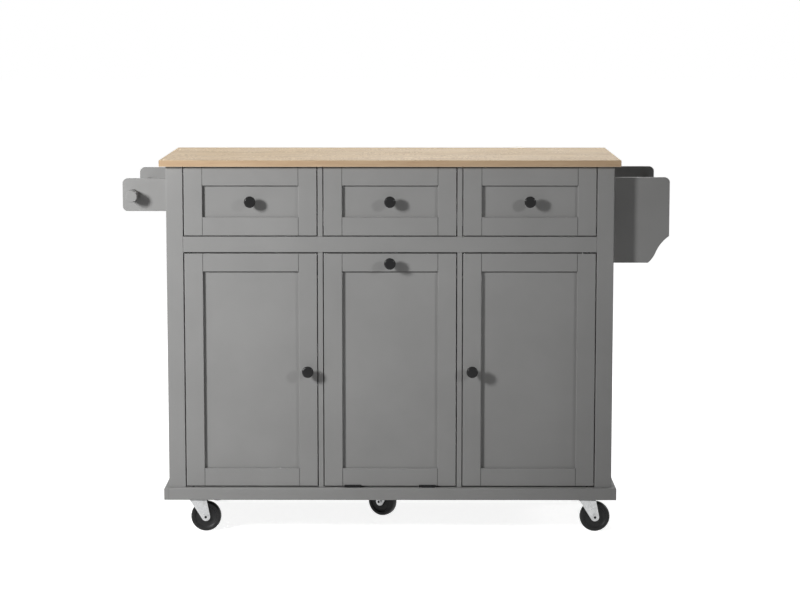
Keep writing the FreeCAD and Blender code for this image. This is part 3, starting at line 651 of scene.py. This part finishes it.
def black_metal_finish(name, colour, low, high, shine):
    """Black enamel over metal, greyer at rubbed corners; low and high bound its roughness."""
    made, tree, surface = start_material(name)
    place = place_of(tree)
    skin = sprayed_skin(tree, place, mottle=45.0, peel=900.0, nibs=420.0)
    base = tones(tree, skin["Mottle"], [(0.3, scaled(colour, 1.0)), (0.7, scaled(colour, 1.4))])
    wire(tree, surface.inputs, {
        "Base Color": rubbed(tree, place, base, ENAMEL_RUBBED, reach=0.0012, patches=160.0,
                             share=0.12),
        "Normal": bumped(tree, skin["Peel"], strength=0.18, distance=0.00006),
        "Roughness": handled(tree, place, patches=70.0, low=low, high=high),
        "Specular IOR Level": shine})
    return made


RUBBER_TONES = [(0.3, (0.007, 0.007, 0.0075, 1)), (0.7, (0.014, 0.014, 0.0145, 1))]
RUBBER_SCUFF = (0.110, 0.108, 0.104, 1)
RUBBER_DUST = (0.200, 0.190, 0.175, 1)
SCUFF_STRETCH = (260.0, 260.0, 700.0)


def rubber_finish():
    """Dull black tyre and hub with pale scuffs and dust from the floor."""
    made, tree, surface = start_material("rubber")
    place = place_of(tree)
    skin = sprayed_skin(tree, place, mottle=60.0, peel=1200.0, nibs=260.0)
    base = tones(tree, skin["Mottle"], RUBBER_TONES)
    scuffs = cloud(tree, stretched(tree, place, SCUFF_STRETCH), detail=5.0, roughness=0.75)
    scuffed = laid_over(tree, base, RUBBER_SCUFF, spread(tree, scuffs, start=0.62, end=0.80),
                        share=0.35)
    wire(tree, surface.inputs, {
        "Base Color": dusted(tree, place, scuffed, RUBBER_DUST, height=0.06, specks=900.0,
                             share=0.10),
        "Normal": bumped(tree, skin["Peel"], strength=0.25, distance=0.0001),
        "Roughness": handled(tree, place, patches=90.0, low=0.34, high=0.50),
        "Specular IOR Level": 0.25})
    return made


NYLON_TONES = [(0.3, (0.770, 0.765, 0.735, 1)), (0.7, (0.830, 0.825, 0.800, 1))]
NYLON_RUBBED = (0.600, 0.590, 0.560, 1)


def nylon_finish():
    """Moulded nylon: faint flow clouds and a fine spark-eroded texture."""
    made, tree, surface = start_material("nylon")
    place = place_of(tree)
    skin = sprayed_skin(tree, place, mottle=80.0, peel=1500.0, nibs=500.0)
    base = tones(tree, skin["Mottle"], NYLON_TONES)
    wire(tree, surface.inputs, {
        "Base Color": rubbed(tree, place, base, NYLON_RUBBED, reach=0.0010, patches=90.0,
                             share=0.25),
        "Subsurface Weight": 0.06,
        "Normal": bumped(tree, skin["Peel"], strength=0.12, distance=0.00006),
        "Roughness": handled(tree, place, patches=120.0, low=0.40, high=0.52)})
    return made


MATERIALS = {
    "oak": oak_finish(),
    "paint": paint_finish("paint"),
    "front_paint": paint_finish("front_paint", framed=True),
    "carcass": carcass_finish(),
    "birch": birch_finish(),
    "zinc": zinc_finish(),
    "black_hinge": black_metal_finish("black_hinge", HINGE_BLACK, low=0.38, high=0.50,
                                      shine=0.17),
    "black_metal": black_metal_finish("black_metal", KNOB_BLACK, low=0.16, high=0.26,
                                      shine=0.23),
    "rubber": rubber_finish(),
    "nylon": nylon_finish(),
}


# Mesh helpers

def turned_mesh(rings, steps, shape=None):
    """(radius, height) rings joined round the local Z axis; shape bends a ring's radius."""
    mesh = bmesh.new()
    rows = []
    for index, (radius, height) in enumerate(rings):
        if radius == 0:
            rows.append([mesh.verts.new((0, 0, height))])
            continue
        row = []
        for k in range(steps):
            turn = 2 * math.pi * k / steps
            reach = radius * (shape(index, k) if shape else 1.0)
            row.append(mesh.verts.new((reach * math.cos(turn), reach * math.sin(turn), height)))
        rows.append(row)
    for low, high in zip(rows, rows[1:]):
        for k in range(steps):
            after = (k + 1) % steps
            if len(low) == 1:
                mesh.faces.new((low[0], high[after], high[k]))
            elif len(high) == 1:
                mesh.faces.new((low[k], low[after], high[0]))
            else:
                mesh.faces.new((low[k], low[after], high[after], high[k]))
    return mesh


def closed_ring(rings, steps):
    """Rings joined round and back to the first one, for pieces with a hole through them."""
    mesh = turned_mesh(rings + [rings[0]], steps)
    bmesh.ops.remove_doubles(mesh, verts=mesh.verts, dist=JOIN_REACH)
    return mesh


def profiled(profile, radius, height):
    return [(radius * a, height * b) for a, b in profile]


def moved(mesh, matrix):
    bmesh.ops.transform(mesh, matrix=matrix, verts=mesh.verts)
    return mesh


def mesh_data(name, mesh):
    data = bpy.data.meshes.new(name)
    mesh.to_mesh(data)
    mesh.free()
    return data


def merged(parts):
    """One bmesh from several."""
    whole = bmesh.new()
    for part in parts:
        data = mesh_data("part", part)
        whole.from_mesh(data)
        bpy.data.meshes.remove(data)
    return whole


def in_scene(name, data):
    made = bpy.data.objects.new(name, data)
    bpy.context.scene.collection.objects.link(made)
    return made


def piece(name, mesh, finish, body, stands_for=()):
    """Turn a bmesh into a shown piece that rides on its body."""
    bmesh.ops.recalc_face_normals(mesh, faces=mesh.faces)
    data = mesh_data(name, mesh)
    data.shade_smooth()
    data.set_sharp_from_angle(angle=SMOOTH_ANGLE)
    data.materials.append(MATERIALS[finish])
    made = in_scene(name, data)
    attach(made, body)
    if stands_for:
        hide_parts(*stands_for)


def middle(node):
    low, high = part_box(node)
    return (Vector(low) + Vector(high)) / 2


# Knobs

def knob(body):
    """The knob's turned form, in place of its plain solid."""
    node = body + "_knob"
    low, high = (Vector(corner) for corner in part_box(node))
    seat = Vector(((low.x + high.x) / 2, high.y, (low.z + high.z) / 2))
    rings = profiled(KNOB_PROFILE, (high.x - low.x) / 2, high.y - low.y)
    outward = Matrix.Translation(seat) @ Matrix.Rotation(math.pi / 2, 4, "X")
    mesh = moved(turned_mesh(rings, KNOB_STEPS), outward)
    piece(node + "_turned", mesh, "black_metal", body, [node])


# Casters

def heading_of(place):
    return math.radians(WHEEL_HEADINGS[place])


def along_axle(place, side):
    """Local +Z out along the axle: before the heading's turn, to -Y for side -1, else to +Y."""
    return (Matrix.Translation(middle("caster_" + place + "_wheel"))
            @ Matrix.Rotation(heading_of(place), 4, "Z")
            @ Matrix.Rotation(-side * math.pi / 2, 4, "X"))


def wheel(place):
    """The wheel's turned form, in place of its plain solid."""
    node = "caster_" + place + "_wheel"
    rings = WHEEL_PROFILE + [(radius, -half) for radius, half in reversed(WHEEL_PROFILE)]
    mesh = moved(closed_ring(rings, WHEEL_STEPS), along_axle(place, -1))
    piece(node + "_turned", mesh, "rubber", node, [node])


def axle_ends(place):
    """A washer under each hexagonal axle end, and the end's own dark centre."""
    node = "caster_" + place + "_fork"
    washers, centres = [], []
    for side in (-1, 1):
        outward = along_axle(place, side)
        on_leg = Matrix.Translation((0, 0, FORK_OUTER))
        on_end = Matrix.Translation((0, 0, FORK_OUTER + AXLE_END_HEIGHT))
        washers.append(moved(closed_ring(WASHER_RINGS, AXLE_END_STEPS), outward @ on_leg))
        centres.append(moved(turned_mesh(SOCKET_RINGS, AXLE_END_STEPS), outward @ on_end))
    piece("axle_washers_" + place, merged(washers), "zinc", node)
    piece("axle_centres_" + place, merged(centres), "black_hinge", node)


def cross_slot(index, k):
    """Draws the inner rings of a screw head in, except along the arms of its cross."""
    on_arm = k % (SCREW_STEPS // CROSS_ARMS) == 0
    return 1.0 if index < CROSS_FIRST_RING or on_arm else CROSS_NARROWING


def plate_screws(place):
    """Four screws up through a caster's plate into the bottom panel."""
    heading = heading_of(place)
    behind = Vector((math.cos(heading), math.sin(heading), 0)) * CASTER_TRAIL
    swivel = middle("caster_" + place + "_wheel") - behind
    head_down = Matrix.Rotation(math.pi, 4, "X")
    screws = []
    for dx in (-1, 1):
        for dy in (-1, 1):
            at = Vector((swivel.x + dx * SCREW_INSET, swivel.y + dy * SCREW_INSET,
                         PLATE_UNDERSIDE))
            turn = Matrix.Rotation(SCREW_TURN_ACROSS * dx + SCREW_TURN_ALONG * dy, 4, "Z")
            head = turned_mesh(profiled(SCREW_PROFILE, SCREW_RADIUS, SCREW_HEIGHT),
                               SCREW_STEPS, cross_slot)
            screws.append(moved(head, Matrix.Translation(at) @ head_down @ turn))
    piece("plate_screws_" + place, merged(screws), "zinc", "cabinet")


# Carried-over nodes

def soften(made, radius):
    """Join the split corners again and round them a little."""
    weld = made.modifiers.new("join", "WELD")
    weld.merge_threshold = JOIN_REACH
    bevel = made.modifiers.new("ease", "BEVEL")
    bevel.width = radius
    bevel.segments = EASE_SEGMENTS
    bevel.limit_method = "ANGLE"
    bevel.angle_limit = EASE_ANGLE
    bevel.harden_normals = True


def finish_nodes():
    """Gives each carried-over node its finish, and softens those that have a radius."""
    given = {node for nodes in FINISHES.values() for node in nodes}
    missing = set(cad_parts) - given
    if missing:
        raise ValueError("no finish for " + ", ".join(sorted(missing)))
    for finish, nodes in FINISHES.items():
        for node in nodes:
            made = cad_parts[node]
            for slot in made.material_slots:
                slot.material = MATERIALS[finish]
            if node in SOFTENED:
                soften(made, SOFTENED[node])


# Studio

def lamp(name, place, target, side, beam, watts):
    """A square softbox aimed at a point."""
    data = bpy.data.lights.new(name, "AREA")
    data.shape = "SQUARE"
    data.size = side
    data.spread = math.radians(beam)
    data.energy = watts
    made = in_scene(name, data)
    made.location = place
    aim = Vector(target) - Vector(place)
    made.rotation_euler = aim.to_track_quat("-Z", "Y").to_euler()


def seen_directly(tree):
    """1 for rays from the camera, from gloss and through clear pieces."""
    rays = add(tree, "ShaderNodeLightPath").outputs
    seen = maths(tree, "MAXIMUM", rays["Is Camera Ray"], rays["Is Glossy Ray"])
    return maths(tree, "MAXIMUM", seen, rays["Is Transmission Ray"])


def white_room():
    """White where it is seen directly, and only a dim ambient on the object."""
    world = bpy.data.worlds.new("white_room")
    bpy.context.scene.world = world
    tree = bare_tree(world)
    ambient = add(tree, "ShaderNodeBackground", {"Color": WHITE, "Strength": ROOM_AMBIENT})
    white = add(tree, "ShaderNodeBackground", {"Color": WHITE, "Strength": BACKDROP_WHITE})
    mixed = add(tree, "ShaderNodeMixShader", {0: seen_directly(tree),
                1: ambient.outputs[0], 2: white.outputs[0]})
    add(tree, "ShaderNodeOutputWorld", {"Surface": mixed.outputs[0]})


def floor_material():
    """A pale lit floor that glows up to plain white, and keeps the object's soft shadow."""
    made = bpy.data.materials.new("white_floor")
    tree = bare_tree(made)
    lit = add(tree, "ShaderNodeBsdfDiffuse", {"Color": FLOOR_COLOUR})
    distance = add(tree, "ShaderNodeVectorMath", {0: place_of(tree)},
                   operation="LENGTH").outputs["Value"]
    glow = spread(tree, distance, start=FLOOR_GLOW_START, end=FLOOR_GLOW_END,
                  at_start=FLOOR_GLOW_NEAR, at_end=BACKDROP_WHITE)
    shown = times(tree, glow, seen_directly(tree))
    emission = add(tree, "ShaderNodeEmission", {"Color": WHITE, "Strength": shown})
    both = add(tree, "ShaderNodeAddShader", {0: lit.outputs[0], 1: emission.outputs[0]})
    add(tree, "ShaderNodeOutputMaterial", {"Surface": both.outputs[0]})
    return made


def floor():
    """One flat sheet under the object, attached to no body."""
    mesh = bmesh.new()
    reach = FLOOR_HALF_WIDTH
    mesh.faces.new([mesh.verts.new((x, y, 0)) for x, y in
                    ((-reach, -reach), (reach, -reach), (reach, reach), (-reach, reach))])
    data = mesh_data("floor", mesh)
    data.materials.append(floor_material())
    made = in_scene("floor", data)


def camera():
    """The one camera, at the photograph's viewing angle."""
    data = bpy.data.cameras.new("camera")
    data.lens = CAMERA_LENS
    data.sensor_width = CAMERA_SENSOR
    data.shift_y = CAMERA_SHIFT
    data.clip_end = CAMERA_REACH
    made = in_scene("camera", data)
    made.location = CAMERA_PLACE
    made.rotation_euler = (math.radians(90 - CAMERA_PITCH), 0, math.radians(CAMERA_TURN))
    bpy.context.scene.camera = made


camera()
white_room()
floor()
for name, settings in LAMPS.items():
    lamp(name, *settings)
bpy.context.scene.view_settings.view_transform = "Standard"

finish_nodes()
for body in DRAWERS + DOORS:
    knob(body)
for place in WHEEL_HEADINGS:
    wheel(place)
    axle_ends(place)
    plate_screws(place)
